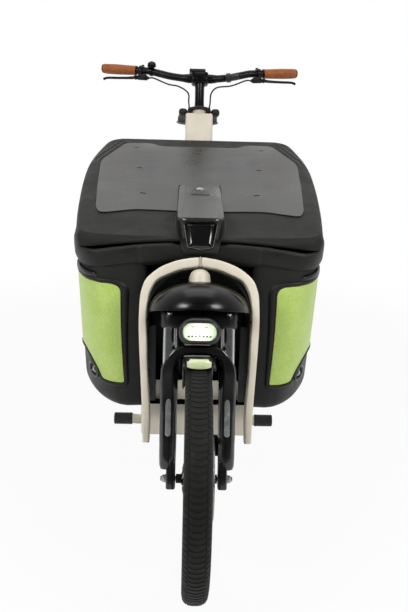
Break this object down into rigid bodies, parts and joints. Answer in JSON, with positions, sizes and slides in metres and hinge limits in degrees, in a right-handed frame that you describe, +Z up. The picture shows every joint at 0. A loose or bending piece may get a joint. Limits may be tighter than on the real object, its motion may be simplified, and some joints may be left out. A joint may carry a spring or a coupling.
{
  "type": "delivery bike",
  "caption": "Front-loading electric cargo bike with a lockable lidded box over a suspension fork, steering column, belt drive and centre stand.",
  "frame": {"origin": "on the ground, under the middle of the bike's overall box", "axes": "+Y to the rear, -Y is the way it rides, +X to the rider's left, +Z up"},
  "size_m": [0.6988, 2.6754, 1.1618],
  "materials": {
    "cream_paint": "satin powder coat",
    "black_plastic": "fine moulded grain",
    "gloss_black": "gloss",
    "grey_gloss_panel": "gloss",
    "lime_panel": "fine speckle",
    "tyre_rubber": "moulded tread",
    "black_rubber": "matte",
    "bright_steel": "brushed",
    "chrome": "polished",
    "black_anodised": "black anodised",
    "black_fork_paint": "gloss",
    "brown_grip": "stitched",
    "saddle_cover": "matte",
    "clear_lens": "clear",
    "red_lens": "clear red"
  },
  "bodies": {
    "frame": {"head_tube": "cream_paint", "front_hoop": "cream_paint", "main_beam": "cream_paint", "steering_column": "cream_paint", "rear_beam": "cream_paint", "motor_unit": "black_plastic", "seat_tube": "cream_paint", "rear_stays_left": "cream_paint", "rear_stays_right": "cream_paint", "box_tub": "black_plastic", "side_panel_left": "lime_panel", "side_panel_right": "lime_panel", "wheel_arch_liner": "black_plastic", "steering_pulley_cover": "gloss_black", "steering_cables": "black_plastic", "rear_axle": "bright_steel", "rear_brake_caliper": "black_anodised", "rear_mudguard": "black_plastic", "rear_light": "red_lens", "drive_belt": "black_rubber"},
    "lid": {"lid_shell": "black_plastic", "lid_top_panel": "grey_gloss_panel"},
    "lock": {"lock_cylinder": "chrome"},
    "fork": {"fork_crown": "black_fork_paint", "fork_pulley": "black_anodised", "headlight_housing": "black_plastic", "headlight_lens": "clear_lens"},
    "fork_lower": {"fork_lowers": "black_fork_paint", "front_mudguard": "black_plastic", "front_brake_caliper": "black_anodised", "front_axle": "bright_steel"},
    "front_wheel": {"front_tyre": "tyre_rubber", "front_rim": "black_anodised", "front_brake_rotor": "bright_steel"},
    "rear_wheel": {"rear_tyre": "tyre_rubber", "rear_rim": "black_anodised", "rear_brake_rotor": "bright_steel"},
    "freewheel": {"rear_sprocket": "black_anodised"},
    "crank": {"crankset": "black_anodised"},
    "left_pedal": {"pedal_left": "black_plastic"},
    "right_pedal": {"pedal_right": "black_plastic"},
    "steering": {"stem": "black_anodised", "handlebar_pulley": "black_anodised", "handlebar": "black_anodised", "grip_left": "brown_grip", "grip_right": "brown_grip", "display_unit": "gloss_black", "bell": "black_anodised", "brake_hoses": "black_plastic", "brake_clamp_left": "black_anodised", "brake_clamp_right": "black_anodised"},
    "left_lever": {"brake_lever_left": "black_anodised"},
    "right_lever": {"brake_lever_right": "black_anodised"},
    "seat": {"saddle": "saddle_cover", "seatpost": "black_anodised"},
    "battery": {"battery_pack": "black_plastic"},
    "stand": {"stand_frame": "cream_paint", "stand_foot_left": "black_rubber", "stand_foot_right": "black_rubber"}
  },
  "joints": [
    {"name": "fork_steer", "type": "hinge", "parent": "frame", "child": "fork", "pos_m": [0, -1.0372, 0.258], "axis": [0, 0.342, 0.9397], "range_deg": [-33, 33]},
    {"name": "fork_compress", "type": "slide", "parent": "fork", "child": "fork_lower", "axis": [0, 0.342, 0.9397], "range_m": [0, 0.03], "stiffness_N_per_m": 12000, "springref_m": -0.03},
    {"name": "front_wheel_spin", "type": "hinge", "parent": "fork_lower", "child": "front_wheel", "pos_m": [0, -1.07975, 0.258], "axis": [1, 0, 0], "continuous": true},
    {"name": "rear_wheel_spin", "type": "hinge", "parent": "frame", "child": "rear_wheel", "pos_m": [0, 0.98025, 0.3345], "axis": [1, 0, 0], "continuous": true},
    {"name": "crank_spin", "type": "hinge", "parent": "frame", "child": "crank", "pos_m": [0, 0.50725, 0.29], "axis": [1, 0, 0], "continuous": true},
    {"name": "freewheel_spin", "type": "hinge", "parent": "frame", "child": "freewheel", "pos_m": [0, 0.98025, 0.3345], "axis": [1, 0, 0], "continuous": true},
    {"name": "left_pedal_spin", "type": "hinge", "parent": "crank", "child": "left_pedal", "pos_m": [0, 0.67725, 0.29], "axis": [1, 0, 0], "continuous": true},
    {"name": "right_pedal_spin", "type": "hinge", "parent": "crank", "child": "right_pedal", "pos_m": [0, 0.33725, 0.29], "axis": [1, 0, 0], "continuous": true},
    {"name": "handlebar_steer", "type": "hinge", "parent": "frame", "child": "steering", "pos_m": [0, 0.12525, 0.985], "axis": [0, 0.342, 0.9397], "range_deg": [-33, 33]},
    {"name": "left_brake_pull", "type": "hinge", "parent": "steering", "child": "left_lever", "pos_m": [0.2234, 0.1819, 1.1069], "axis": [0.1965, -0.7027, 0.6838], "range_deg": [0, 10], "stiffness_Nm_per_rad": 2, "springref_deg": -20.05},
    {"name": "right_brake_pull", "type": "hinge", "parent": "steering", "child": "right_lever", "pos_m": [-0.2234, 0.1819, 1.1069], "axis": [0.1965, 0.7027, -0.6838], "range_deg": [0, 10], "stiffness_Nm_per_rad": 2, "springref_deg": -20.05},
    {"name": "lid_swing", "type": "hinge", "parent": "frame", "child": "lid", "pos_m": [0, -0.00775, 0.86276], "axis": [1, 0, 0], "range_deg": [-75, 0]},
    {"name": "lock_turn", "type": "hinge", "parent": "lid", "child": "lock", "pos_m": [0, -0.52975, 0.80675], "axis": [0, -0.2008, 0.9796], "range_deg": [0, 90]},
    {"name": "seat_height", "type": "slide", "parent": "frame", "child": "seat", "axis": [0, 0.342, 0.9397], "range_m": [-0.12, 0.08]},
    {"name": "battery_lift", "type": "slide", "parent": "frame", "child": "battery", "axis": [0, 0, 1], "range_m": [0, 0.12]},
    {"name": "stand_fold", "type": "hinge", "parent": "frame", "child": "stand", "pos_m": [0, -0.23975, 0.205], "axis": [1, 0, 0], "range_deg": [0, 85]}
  ],
  "couplings": [
    {"joint": "handlebar_steer", "follows": "fork_steer", "ratio": 1},
    {"joint": "freewheel_spin", "follows": "crank_spin", "ratio": 1.65}
  ]
}
